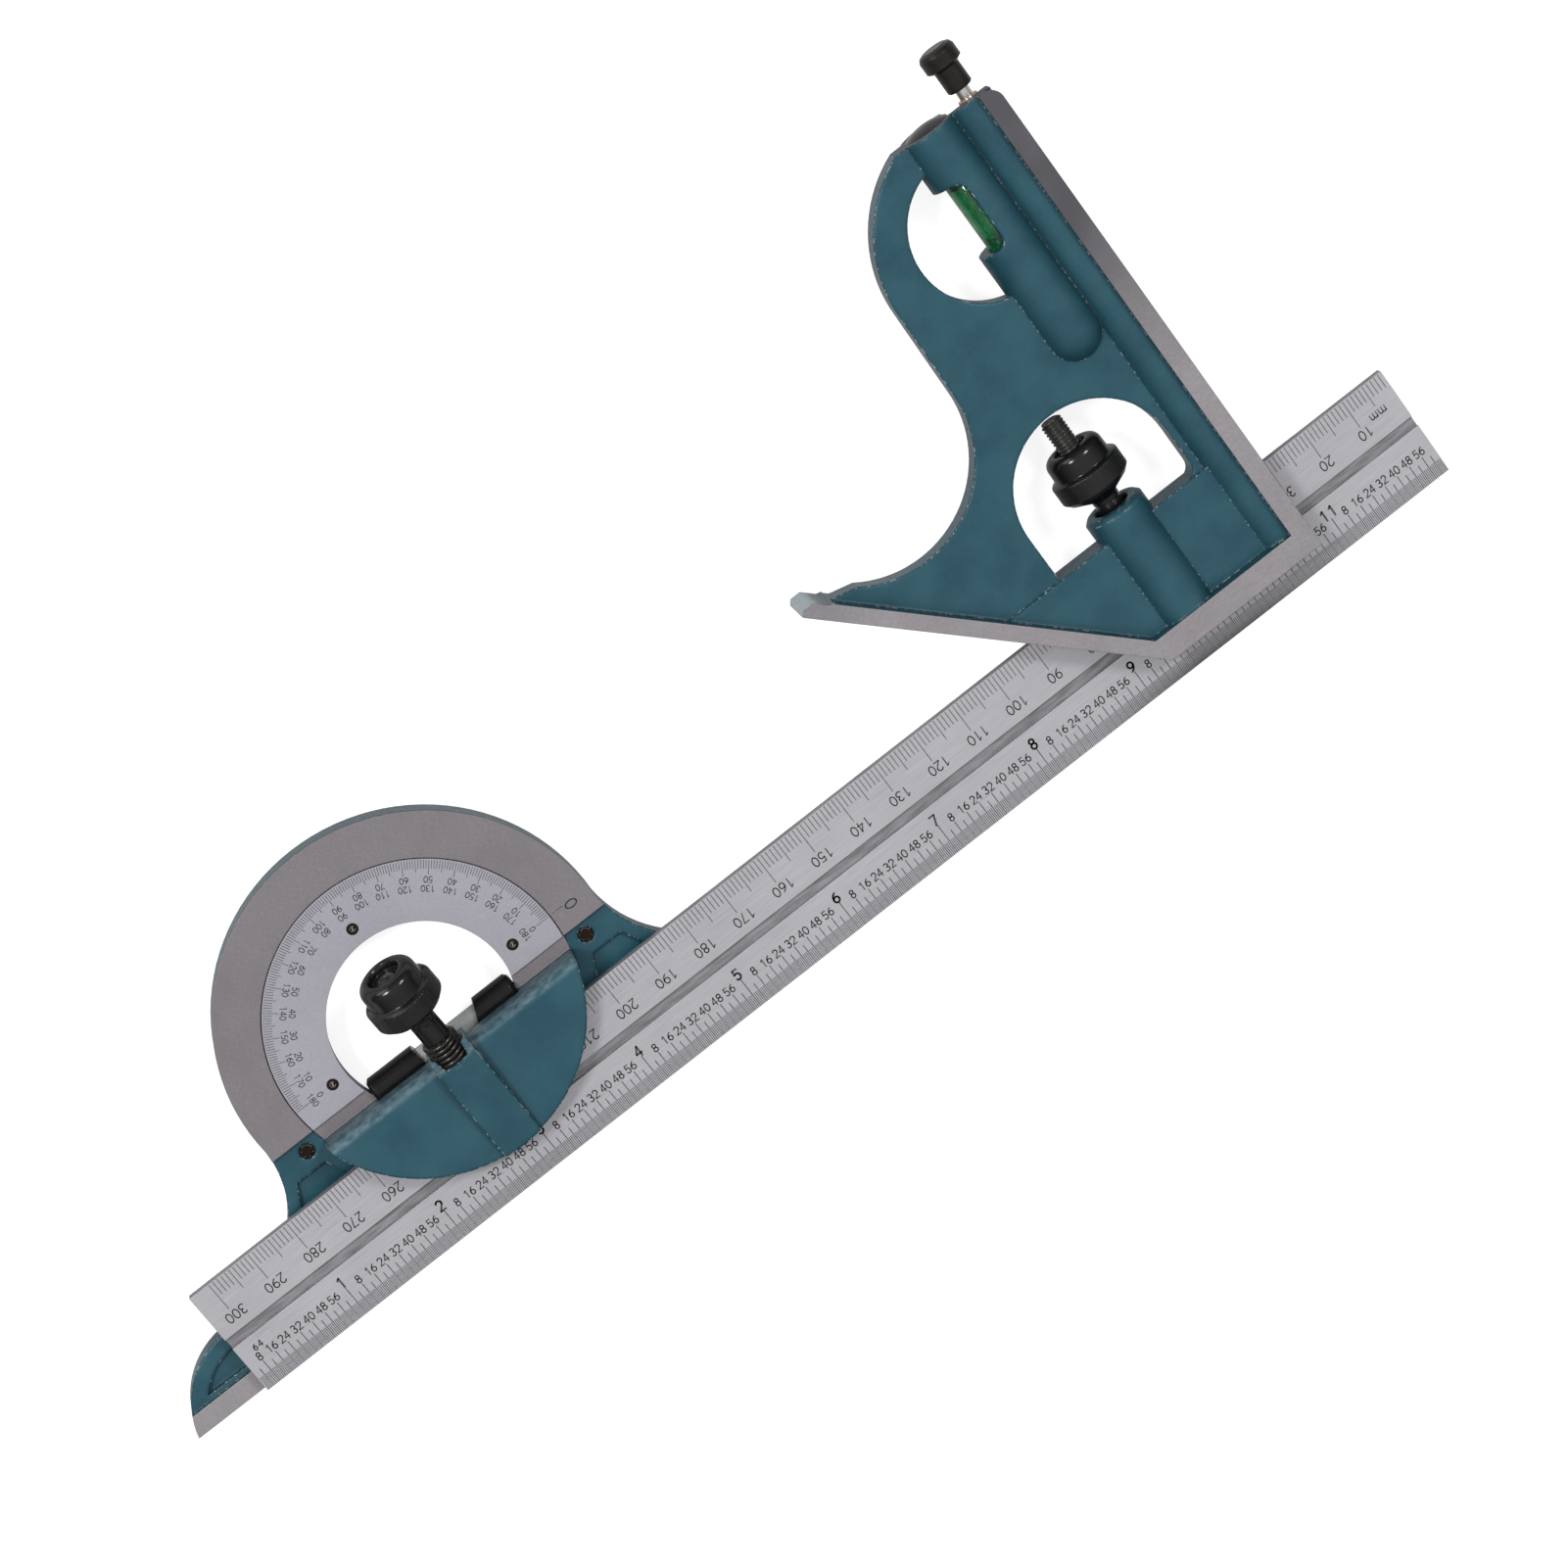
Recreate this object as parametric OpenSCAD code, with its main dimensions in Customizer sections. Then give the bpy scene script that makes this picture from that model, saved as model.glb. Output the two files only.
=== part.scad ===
// Combination set: a 12 inch rule with a square head and a bevel protractor head.
// The set lies on its back. X runs along the blade, Y from the blade towards
// the heads, Z up from the resting plane. Sizes are counted from the axis of the
// protractor turret, and place() moves the origin to the middle of the set.

/* [Blade] */
// Length of the blade (12 inches)
blade_length = 304.8; // [260:0.1:340]
// Width of the blade (1 inch)
blade_width = 25.4; // [24:0.1:27]
// Thickness of the blade
blade_thickness = 2.4; // [2:0.1:2.8]
// Width of the groove in the middle of the front face
groove_width = 2.4; // [2:0.1:3]
// Depth of that groove
groove_depth = 0.9; // [0.6:0.1:1.1]
// From the turret axis to the left end of the blade
blade_left = 72.45; // [60:0.05:90]
// From the turret axis down to the upper edge of the blade
blade_drop = 16.33; // [15.5:0.01:17.5]

/* [Square head] */
// Thickness of the square head over its ground faces
head_thickness = 14; // [13:0.1:16]
// From the turret axis to the 90 degree face
face_place = 201.45; // [196:0.05:225]
// From the blade's upper edge to the top of the head
head_height = 95.9; // [90:0.1:104]
// How far the blade stands out below the head
blade_stand_out = 6; // [4:0.1:8]
// Length of the foot between the 90 and the 45 degree faces
foot_length = 38.2; // [36:0.05:44]
// Width of the ground band along the 90 degree face
band_upright = 4.1; // [3:0.1:5]
// Width of the ground band along the foot
band_foot = 5.4; // [4:0.1:7]
// Width of the ground band along the 45 degree face
band_slope = 3.4; // [2.6:0.1:4.4]
// Thickness of the web between the bands
web_thickness = 5.5; // [4.5:0.1:7]
// Thickness of the block round the blade slot
block_thickness = 7.2; // [6.8:0.1:9]
// Radius of the round back of the head
bulge_radius = 27.9; // [25:0.1:30]
// Radius of the hollow between the back and the tip
sweep_radius = 24; // [22:0.1:26]
// Radius of the arch of the lower window
arch_radius = 17.6; // [15:0.1:18]
// Radius of the upper window
eye_radius = 15.4; // [13:0.1:16.5]
// Radius of the level housing
housing_radius = 6.3; // [5.8:0.1:6.6]
// Radius of the boss round the clamp bolt
boss_radius = 6.7; // [6:0.1:6.8]

/* [Protractor head] */
// Thickness of the protractor casting over its ground faces
body_thickness = 5.6; // [5.2:0.05:5.7]
// Outer radius of the ring
ring_radius = 42.1; // [41:0.1:44]
// Radius of the turret
turret_radius = 32.4; // [31:0.1:33]
// Radius of the rim that holds the turret in its bore
rim_radius = 33.9; // [33.7:0.1:34.1]
// Radius of the window in the turret
window_radius = 19.4; // [18:0.1:21]
// Half of the length of the base
base_half = 90; // [88:0.05:92]
// Radius of the round ends of the base
end_radius = 18.95; // [18.5:0.05:19.4]
// Radius of the flares between ring and base
flare_radius = 25.65; // [25:0.05:27]
// Height of the ground strip along the base
strip_height = 4.5; // [3.5:0.1:5.5]
// How far the turret rises over the front face of the blade
turret_rise = 4.2; // [3.8:0.1:5]
// Thickness of the dial plate
dial_thickness = 0.8; // [0.5:0.1:1]
// Lean of the turret's clamp bolt out of the plane of the blade, degrees
clamp_lean = 13; // [10:0.5:14]

/* [Clamps] */
// Radius of the hooked part of both clamp bolts
hook_radius = 2.9; // [2.7:0.05:3]
// Radius of the threaded part of both clamp bolts
thread_radius = 2.4; // [2.2:0.05:2.5]
// Radius of the knurled rim of the clamp nuts
nut_radius = 7.8; // [7:0.1:8.2]
// Length of a clamp nut with its neck
nut_length = 18.7; // [18:0.1:19.5]
// Radius of the spring wire
wire_radius = 0.45; // [0.3:0.05:0.5]

/* [Scriber and levels] */
// Radius of the scriber
scriber_radius = 1.5; // [1.2:0.05:1.7]
// Length of the scriber
scriber_length = 66; // [55:1:72]
// Radius of the square head's level
vial_radius = 3.8; // [3:0.1:4]
// Radius of the protractor's level tube
tube_radius = 3.2; // [3:0.05:3.25]
// Half of the length of that tube
tube_half = 17.9; // [17.5:0.1:18.5]

/* [Fits] */
// Clearance round turning and sliding cylinders
running_gap = 0.05; // [0.03:0.01:0.09]
// Clearance between the blade and its slots
slot_gap = 0.05; // [0.03:0.01:0.1]

/* [Hidden] */
$fn = 96;

// Heights in the stack, and the edges of the blade
mid_height = head_thickness / 2;
blade_back = mid_height - blade_thickness / 2;
blade_front = mid_height + blade_thickness / 2;
blade_top = -blade_drop;
blade_bottom = blade_top - blade_width;
half_blade = blade_width / 2;
groove_place = blade_top - half_blade;

// The square head is drawn from the corner between its 90 degree face and the
// upper edge of the blade
foot_drop = blade_width - blade_stand_out;
slope_sum = -foot_length - foot_drop;
bulge_x = -13.5;
bulge_y = head_height - 26.1;
waist_x = bulge_x - bulge_radius;
waist_slant = 0.5;
sweep_x = waist_x - waist_slant - sweep_radius;
sweep_y = 51.4;
tip_top = 36.1;
tip_join = 234;
corner_radius = 3;
end_round = 10;
housing_x = -15.2;
housing_low = 45.8;
eye_x = -17.2;
eye_y = bulge_y + 4.5;
eye_cut_low = eye_y - 5.5;
eye_cut_high = eye_y + 10.4;
eye_cut_x = housing_x - 0.85;
clamp_x = -29.1;
arch_y = 17.9;
window_low = 7.25;
boss_top = 12.3;
spring_seat = 3.5;
window_corner = 2.6;
scriber_x = -4.85;
rib_radius = 5.8;
bush_radius = 2.2;
bush_length = 6;
plug_radius = 5;
plug_depth = 5.5;
vial_length = 26;
needle_bare = 2.3;
knob_length = 9.5;
vial_middle = (eye_cut_low + eye_cut_high) / 2;

// The protractor
flare_x = ring_radius + flare_radius - 0.1;
flare_y = -1.3;
end_sink = 4.8;
end_y = blade_bottom - end_sink;
end_x = base_half - sqrt(end_radius * end_radius - end_sink * end_sink);

step_y = -5.1;
cast_height = body_thickness - 1;
pocket_depth = 1;
ear_pocket_top = -12.1;
lock_x = 35.6;
lock_y = -8;
lock_head_radius = 4.6;
lock_shank_radius = 1.65;
lock_head_top = 2;
turret_back = lock_head_top + running_gap;
rim_top = 3.4;
seat_height = body_thickness - dial_thickness;
turret_top = blade_front + turret_rise;
wall_y = -8.2;
wall_round = 2.4;
ridge_half = 4.55;
ridge_rise = 2.3;
ridge_fall = 1.5;
ridge_front = -6.6;
mouth_y = -9.2;
dial_screw_circle = 22.9;
dial_screw_radius = 1.25;
tube_y = -7.3;
tube_height = 3.6;
tube_bore = 2.1;
plug_length = 2;

// Places along the clamp axes, counted from the groove of the blade
square_seat = half_blade + spring_seat;
square_shoulder = square_seat - 0.6;
square_nut_place = 21.4;
square_bolt_end = 46.8;
turret_seat = (mouth_y - groove_place) / cos(clamp_lean);
turret_shoulder = turret_seat - 0.6;
turret_nut_place = 26.4;
turret_bolt_end = 43.8;
hook_below = 2.2;
hook_travel = 0.7;
cup_depth = 1.6;
counterbore_radius = 4.05;

// Middle of the set along X and Y: from the left tip of the protractor's base to
// the right end of the blade, and from the blade's lower edge to the scriber's knob
middle_x = (blade_length - blade_left - base_half) / 2;
middle_y = (blade_bottom + blade_top + head_height + needle_bare + knob_length) / 2;

// Frames
module place() {
    translate([-middle_x, -middle_y, 0])
        children();
}

module from_head() {
    translate([face_place, blade_top, mid_height])
        children();
}

// Turns a Z axis into the direction of Y
module along_y() {
    rotate([-90, 0, 0])
        children();
}

module on_square_clamp() {
    translate([face_place + clamp_x, groove_place, mid_height])
        along_y()
            children();
}

module on_turret_clamp() {
    translate([0, groove_place, mid_height])
        rotate([clamp_lean, 0, 0])
            along_y()
                children();
}

module both_sides() {
    children();
    mirror([1, 0, 0])
        children();
}

// A slab of a given thickness about the middle plane of the square head
module slab(thickness) {
    translate([0, 0, -thickness / 2])
        linear_extrude(thickness)
            children();
}

// Blade
module blade() {
    color("silver")
        difference() {
            translate([-blade_left, blade_bottom, blade_back])
                cube([blade_length, blade_width, blade_thickness]);
            translate([-blade_left - 1, groove_place - groove_width / 2, blade_front - groove_depth])
                cube([blade_length + 2, groove_width, groove_depth + 1]);
        }
}

// Outline of the square head
module head_outline() {
    difference() {
        union() {
            polygon([
                [-foot_length, -foot_drop],
                [0, -foot_drop],
                [0, head_height - corner_radius],
                [-corner_radius, head_height],
                [bulge_x, head_height],
                [bulge_x, bulge_y],
                [waist_x, bulge_y],
                [waist_x - waist_slant, sweep_y],
                [sweep_x, sweep_y],
                [sweep_x + sweep_radius * cos(tip_join), sweep_y + sweep_radius * sin(tip_join)],
                [slope_sum - tip_top + 6.7, tip_top - 2.4],
                [slope_sum - tip_top + 4.3, tip_top],
                [slope_sum - tip_top + 1.9, tip_top],
                [slope_sum - tip_top + 1.1, tip_top - 1.1],
            ]);
            intersection() {
                translate([bulge_x, bulge_y])
                    circle(bulge_radius);
                translate([waist_x, bulge_y])
                    square([bulge_radius, head_height - bulge_y]);
            }
            translate([-corner_radius, head_height - corner_radius])
                circle(corner_radius);
        }
        translate([sweep_x, sweep_y])
            circle(sweep_radius);
    }
}

// Area inside the ground bands
module head_inside() {
    inner_sum = slope_sum + band_slope * sqrt(2);
    inner_low = -foot_drop + band_foot;
    polygon([
        [-band_upright, head_height + 1],
        [-band_upright, inner_low],
        [inner_sum - inner_low, inner_low],
        [inner_sum - tip_top + 3, tip_top - 3],
        [inner_sum - tip_top + 3, head_height + 1],
    ]);
}

module lower_window() {
    translate([clamp_x, arch_y])
        circle(arch_radius);
    translate([clamp_x - arch_radius, window_low])
        square([2 * arch_radius - window_corner, arch_y - window_low]);
    translate([clamp_x, window_low + window_corner])
        square([arch_radius, arch_y - window_low - window_corner]);
    translate([clamp_x + arch_radius - window_corner, window_low + window_corner])
        circle(window_corner);
}

module upper_window() {
    intersection() {
        translate([eye_x, eye_y])
            circle(eye_radius);
        translate([housing_x - 40, eye_y - 20])
            square(40);
    }
}

// Opening in the side of the level housing through which the vial shows
module vial_cut() {
    corner = 2.4;
    translate([housing_x - 10, eye_cut_low])
        square([10 + eye_cut_x - housing_x - corner, eye_cut_high - eye_cut_low]);
    translate([housing_x - 10, eye_cut_low + corner])
        square([10 + eye_cut_x - housing_x, eye_cut_high - eye_cut_low - 2 * corner]);
    for (y = [eye_cut_low + corner, eye_cut_high - corner])
        translate([eye_cut_x - corner, y])
            circle(corner);
}

// Upright round rib beside the 90 degree face, for the scriber
module scriber_rib() {
    rib_length = head_height + foot_drop - band_foot + 1;
    intersection() {
        translate([scriber_x, head_height - rib_length, 0])
            along_y()
                cylinder(r = rib_radius, h = rib_length);
        translate([scriber_x - rib_radius - 1, head_height - rib_length, -rib_radius - 1])
            cube([rib_radius + 2, rib_length, 2 * rib_radius + 2]);
    }
    translate([scriber_x, head_height - rib_length, -rib_radius])
        cube([-scriber_x - 1, rib_length, 2 * rib_radius]);
}

// Cuts the flange's end round behind
module end_rounding() {
    middle = 3;
    inner_x = scriber_x - rib_radius;
    difference() {
        translate([inner_x, head_height - end_round, middle - 10])
            cube([1 - inner_x, end_round + 1, 10]);
        translate([inner_x - 1, head_height - end_round, middle])
            rotate([0, 90, 0])
                cylinder(r = end_round, h = 3 - inner_x);
    }
}

module level_housing() {
    translate([housing_x, housing_low, 0]) {
        sphere(housing_radius);
        along_y()
            cylinder(r = housing_radius, h = head_height - housing_low);
    }
}

module clamp_boss() {
    chamfer = 0.8;
    translate([clamp_x, -foot_drop + band_foot - 1, 0])
        along_y() {
            cylinder(r = boss_radius, h = boss_top + foot_drop - band_foot + 1 - chamfer);
            translate([0, 0, boss_top + foot_drop - band_foot + 1 - chamfer])
                cylinder(r1 = boss_radius, r2 = boss_radius - chamfer, h = chamfer);
        }
}

module head_solid() {
    difference() {
        slab(web_thickness)
            head_outline();
        slab(head_thickness) {
            lower_window();
            upper_window();
        }
    }
    slab(head_thickness)
        difference() {
            head_outline();
            head_inside();
        }
    slab(block_thickness)
        intersection() {
            head_outline();
            translate([-2 * foot_length - head_height, -foot_drop])
                square([2 * foot_length + head_height, foot_drop + window_low]);
        }
    scriber_rib();
    level_housing();
    clamp_boss();
}

module square_head() {
    color("teal")
        from_head()
            difference() {
                head_solid();
                end_rounding();
                // slot of the blade, open downwards
                translate([-150, -foot_drop - 1, -blade_thickness / 2 - slot_gap])
                    cube([200, foot_drop + 1 + slot_gap, blade_thickness + 2 * slot_gap]);
                // bore of the clamp bolt and seat of its spring
                translate([clamp_x, -half_blade - hook_below - hook_travel - 0.3, 0])
                    along_y()
                        cylinder(r = hook_radius + running_gap, h = 40);
                translate([clamp_x, spring_seat, 0])
                    along_y()
                        cylinder(r = counterbore_radius, h = 20);
                // level and its plug
                translate([housing_x, vial_middle - vial_length / 2 - 1, 0])
                    along_y()
                        cylinder(r = vial_radius + running_gap, h = vial_length + 20);
                translate([housing_x, head_height - plug_depth, 0])
                    along_y()
                        cylinder(r = plug_radius + running_gap, h = plug_depth + 1);
                slab(head_thickness + 2)
                    vial_cut();
                // scriber
                translate([scriber_x, head_height - scriber_length - 3, 0])
                    along_y()
                        cylinder(r = scriber_radius + 0.2, h = scriber_length + 5);
                translate([scriber_x, head_height - bush_length, 0])
                    along_y()
                        cylinder(r = bush_radius, h = bush_length + 1);
            }
}

module square_vial() {
    cap = 0.6;
    color("green")
        from_head()
            translate([housing_x, vial_middle - vial_length / 2, 0])
                along_y() {
                    cylinder(r1 = vial_radius - cap, r2 = vial_radius, h = cap);
                    translate([0, 0, cap])
                        cylinder(r = vial_radius, h = vial_length - 2 * cap);
                    translate([0, 0, vial_length - cap])
                        cylinder(r1 = vial_radius, r2 = vial_radius - cap, h = cap);
                }
}

module vial_plug() {
    dome_rise = 1.1;
    dome_radius = (plug_radius * plug_radius + dome_rise * dome_rise) / (2 * dome_rise);
    color("black")
        from_head()
            intersection() {
                translate([housing_x, head_height - plug_depth + 0.1, 0])
                    along_y()
                        cylinder(r = plug_radius, h = plug_depth + dome_rise);
                translate([housing_x, head_height + dome_rise - dome_radius, 0])
                    sphere(dome_radius);
            }
}

// Scriber
module scriber_needle() {
    taper = 8;
    color("silver")
        from_head()
            translate([scriber_x, head_height - scriber_length + 1, 0])
                along_y() {
                    cylinder(r1 = 0.15, r2 = scriber_radius, h = taper);
                    translate([0, 0, taper])
                        cylinder(r = scriber_radius, h = scriber_length - taper + 5);
                }
}

module scriber_knob() {
    color("black")
        from_head()
            translate([scriber_x, head_height + needle_bare, 0])
                along_y()
                    difference() {
                        rotate_extrude()
                            polygon([
                                [0, 0], [2.45, 0], [2.75, 0.3], [2.75, 5], [3.95, 5.7],
                                [3.95, 8.3], [3.5, 9.1], [2.6, knob_length], [0, knob_length],
                            ]);
                        translate([0, 0, -1])
                            cylinder(r = scriber_radius, h = 5);
                    }
}

module scriber_bush() {
    color("gold")
        from_head()
            translate([scriber_x, head_height - bush_length, 0])
                along_y()
                    difference() {
                        cylinder(r = bush_radius, h = bush_length);
                        translate([0, 0, -1])
                            cylinder(r = scriber_radius + 0.03, h = bush_length + 2);
                    }
}

// Clamp bolts: a shank whose hooked end lies flat on the blade, with a lug in
// the groove
module bolt_shank(shoulder, end) {
    translate([0, 0, -hook_below])
        cylinder(r = hook_radius, h = hook_below + shoulder);
    cylinder(r = thread_radius, h = end - 0.4);
    translate([0, 0, end - 0.4])
        cylinder(r1 = thread_radius, r2 = thread_radius - 0.4, h = 0.4);
}

// The drop is how far a leaning bolt comes down to the blade when its nut is loosened
module hook_cut(drop) {
    translate([-10, groove_place - 20, -5])
        cube([20, 20 + half_blade + 1, 5 + blade_front + 0.1 + drop]);
}

module hook_lug(drop) {
    lug_length = groove_width - hook_travel - 0.1;
    lug_low = blade_front - groove_depth + 0.15 + drop;
    translate([-1.6, groove_place + groove_width / 2 - 0.04 - lug_length, lug_low])
        cube([3.2, lug_length, blade_front + 0.5 + drop - lug_low]);
}

module square_clamp_bolt() {
    color("dimgray") {
        difference() {
            on_square_clamp()
                bolt_shank(square_shoulder, square_bolt_end);
            translate([face_place + clamp_x, 0, 0])
                hook_cut(0);
        }
        translate([face_place + clamp_x, 0, 0])
            hook_lug(0);
    }
}

module turret_clamp_bolt() {
    drop = hook_travel * sin(clamp_lean);
    color("dimgray") {
        difference() {
            on_turret_clamp()
                bolt_shank(turret_shoulder, turret_bolt_end);
            hook_cut(drop);
        }
        hook_lug(drop);
    }
}

// Clamp nut with its neck, knurled rim, dome and cup
module clamp_nut() {
    neck = 2.95;
    dome = 6.4;
    lip = 4.4;
    round = dome - lip;
    rotate_extrude() {
        difference() {
            union() {
                polygon([
                    [thread_radius + running_gap, 0], [neck, 0], [neck, 6.3], [nut_radius - 0.9, 8.5],
                    [nut_radius, 9.3], [nut_radius, 13.4], [nut_radius - 0.4, 13.8], [dome, 13.8],
                    [dome, nut_length - round], [lip, nut_length - round], [lip, nut_length],
                    [thread_radius + running_gap, nut_length],
                ]);
                intersection() {
                    translate([lip, nut_length - round])
                        circle(round);
                    translate([lip, nut_length - round])
                        square(round);
                }
            }
            translate([0, nut_length - cup_depth])
                square([lip - 0.6, cup_depth + 1]);
        }
    }
}

module square_clamp_nut() {
    color("black")
        on_square_clamp()
            translate([0, 0, square_nut_place])
                clamp_nut();
}

module turret_clamp_nut() {
    color("black")
        on_turret_clamp()
            translate([0, 0, turret_nut_place])
                clamp_nut();
}

// Coil spring: rings of points carried along a helix, joined side by side
module coil_spring(low, high, turns) {
    sides = 8;
    steps = 24;
    mean = 3.4;
    count = turns * steps;
    rise = high - low - 2 * wire_radius - 0.1;
    points = [
        for (i = [0:count])
            for (j = [0:sides - 1])
                let (
                    turn = 360 * i / steps,
                    side = 360 * j / sides,
                    reach = mean + wire_radius * cos(side)
                )
                    [
                        reach * cos(turn),
                        reach * sin(turn),
                        low + 0.05 + wire_radius + rise * i / count + wire_radius * sin(side),
                    ],
    ];
    walls = [
        for (i = [0:count - 1])
            for (j = [0:sides - 1])
                let (next = (j + 1) % sides)
                    each [
                        [i * sides + j, (i + 1) * sides + j, (i + 1) * sides + next],
                        [i * sides + j, (i + 1) * sides + next, i * sides + next],
                    ],
    ];
    first = [[for (j = [0:sides - 1]) j]];
    last = [[for (j = [sides - 1:-1:0]) count * sides + j]];
    polyhedron(points, concat(first, walls, last));
}

module square_clamp_spring() {
    color("dimgray")
        on_square_clamp()
            coil_spring(square_seat, square_nut_place, 4);
}

module turret_clamp_spring() {
    color("dimgray")
        on_turret_clamp()
            coil_spring(turret_seat, turret_nut_place, 5);
}

// Outline of the protractor casting: ring, flared neck and base with round ends
module body_outline() {
    circle(ring_radius);
    difference() {
        translate([-flare_x, blade_bottom])
            square([2 * flare_x, flare_y - blade_bottom]);
        both_sides()
            translate([flare_x, flare_y])
                circle(flare_radius);
    }
    both_sides()
        intersection() {
            translate([end_x, end_y])
                circle(end_radius);
            translate([end_x - end_radius, blade_bottom])
                square(2 * end_radius);
        }
    both_sides()
        shoulder();
}

// Short slope between the flare and the round end
module shoulder() {
    flare_low = flare_y - flare_radius;
    polygon([
        [flare_x - 5, blade_bottom],
        [flare_x - 5, flare_low - 1],
        [flare_x, flare_low],
        [end_x, end_y + end_radius],
        [end_x, blade_bottom]
    ]);
}

// Hollows in the front of the casting: in the ears and along the base
module ear_pocket() {
    intersection() {
        difference() {
            translate([30, ear_pocket_top - 13])
                square([30, 13]);
            circle(turret_radius + 3.8);
        }
        difference() {
            translate([30, ear_pocket_top - 13])
                square([flare_x - 36, 20]);
            translate([flare_x, flare_y])
                circle(flare_radius + 2.6);
        }
    }
}

module base_pocket() {
    pocket_low = blade_bottom + strip_height + 1.2;
    end_pocket = end_radius - 3.4;
    intersection() {
        union() {
            intersection() {
                translate([end_x, end_y])
                    circle(end_pocket);
                translate([end_x, end_y])
                    square(end_pocket + 1);
            }
            translate([52, end_y])
                square([end_x - 52, end_pocket]);
        }
        translate([52, pocket_low])
            square([60, 20]);
    }
}

module protractor_body() {
    color("teal")
        difference() {
            union() {
                linear_extrude(cast_height)
                    body_outline();
                linear_extrude(body_thickness)
                    intersection() {
                        body_outline();
                        union() {
                            translate([-ring_radius - 2, step_y])
                                square([2 * ring_radius + 4, ring_radius - step_y + 2]);
                            translate([-base_half - 2, blade_bottom - 1])
                                square([2 * base_half + 4, strip_height + 1]);
                        }
                    }
            }
            // bore of the turret and recess of its rim
            translate([0, 0, -1])
                cylinder(r = turret_radius + running_gap, h = body_thickness + 2);
            translate([0, 0, -1])
                cylinder(r = rim_radius + 0.1, h = rim_top + running_gap + 1);
            // ears thinned behind for the heads of the lock screws
            both_sides()
                translate([lock_x, lock_y, -1]) {
                    cylinder(r = lock_head_radius + 0.4, h = turret_back + 1);
                    cylinder(r = lock_shank_radius + running_gap, h = body_thickness + 2);
                }
            translate([0, 0, cast_height - pocket_depth])
                linear_extrude(pocket_depth + 1)
                    both_sides() {
                        ear_pocket();
                        base_pocket();
                    }
        }
}

// Profile of the raised half of the turret, across the blade
module raised_profile() {
    translate([-turret_radius, turret_back])
        square([turret_radius + wall_y - wall_round, turret_top - turret_back]);
    translate([wall_y - wall_round - 1, turret_back])
        square([wall_round + 1, turret_top - wall_round - turret_back]);
    translate([wall_y - wall_round, turret_top - wall_round])
        circle(wall_round);
}

module turret_solid() {
    translate([0, 0, turret_back])
        cylinder(r = turret_radius, h = seat_height - turret_back);
    translate([0, 0, turret_back])
        cylinder(r = rim_radius, h = rim_top - turret_back);
    intersection() {
        translate([-turret_radius, 0, 0])
            rotate([90, 0, 90])
                linear_extrude(2 * turret_radius)
                    raised_profile();
        cylinder(r = turret_radius, h = turret_top + 1);
    }
}

// Ridge over the bore of the clamp bolt, rising to a boss at the bore's mouth
module clamp_ridge() {
    boss_low = tube_height + tube_radius + 0.2;
    intersection() {
        translate([-ridge_half, 0, 0])
            rotate([90, 0, 90])
                linear_extrude(2 * ridge_half)
                    polygon([
                        [-turret_radius, turret_top - 1],
                        [wall_y - wall_round, turret_top - 1],
                        [wall_y - wall_round, boss_low],
                        [ridge_front, boss_low],
                        [ridge_front, turret_top + ridge_rise],
                        [-turret_radius, turret_top + ridge_rise - ridge_fall],
                    ]);
        cylinder(r = turret_radius, h = turret_top + ridge_rise + 1);
    }
}

// Round window with a straight lower side
module turret_window() {
    intersection() {
        translate([0, 0, -1])
            cylinder(r = window_radius, h = turret_top + 4);
        translate([-window_radius, wall_y, -1])
            cube([2 * window_radius, window_radius - wall_y, turret_top + 4]);
    }
}

module protractor_turret() {
    color("teal")
        difference() {
            union() {
                difference() {
                    turret_solid();
                    turret_window();
                }
                clamp_ridge();
            }
            // slot of the blade, open downwards
            translate([-50, blade_top - 40, blade_back - slot_gap])
                cube([100, 40 + slot_gap, blade_thickness + 2 * slot_gap]);
            // bore of the clamp bolt and seat of its spring
            on_turret_clamp() {
                translate([0, 0, -hook_below - hook_travel - 0.3])
                    cylinder(r = hook_radius + running_gap, h = 30);
                translate([0, 0, turret_seat])
                    cylinder(r = counterbore_radius, h = 20);
            }
            // seat of the level tube
            translate([-tube_half, tube_y, tube_height])
                rotate([0, 90, 0])
                    cylinder(r = tube_radius, h = 2 * tube_half);
            dial_screw_places()
                cylinder(r = dial_screw_radius, h = 20);
        }
}

module dial_screw_places() {
    for (angle = [0, 90, 180])
        rotate(angle)
            translate([dial_screw_circle, 0, turret_back + 0.6])
                children();
}

module dial_plate() {
    color("gainsboro")
        difference() {
            intersection() {
                translate([0, 0, seat_height])
                    cylinder(r = turret_radius - 0.2, h = dial_thickness);
                translate([-turret_radius, step_y, 0])
                    cube([2 * turret_radius, 2 * turret_radius, body_thickness + 1]);
            }
            translate([0, 0, -1])
                cylinder(r = window_radius, h = body_thickness + 2);
            dial_screw_places()
                cylinder(r = dial_screw_radius, h = 20);
        }
}

module dial_screws() {
    color("black")
        dial_screw_places()
            cylinder(r = dial_screw_radius, h = body_thickness - 0.1 - turret_back - 0.6);
}

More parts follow.
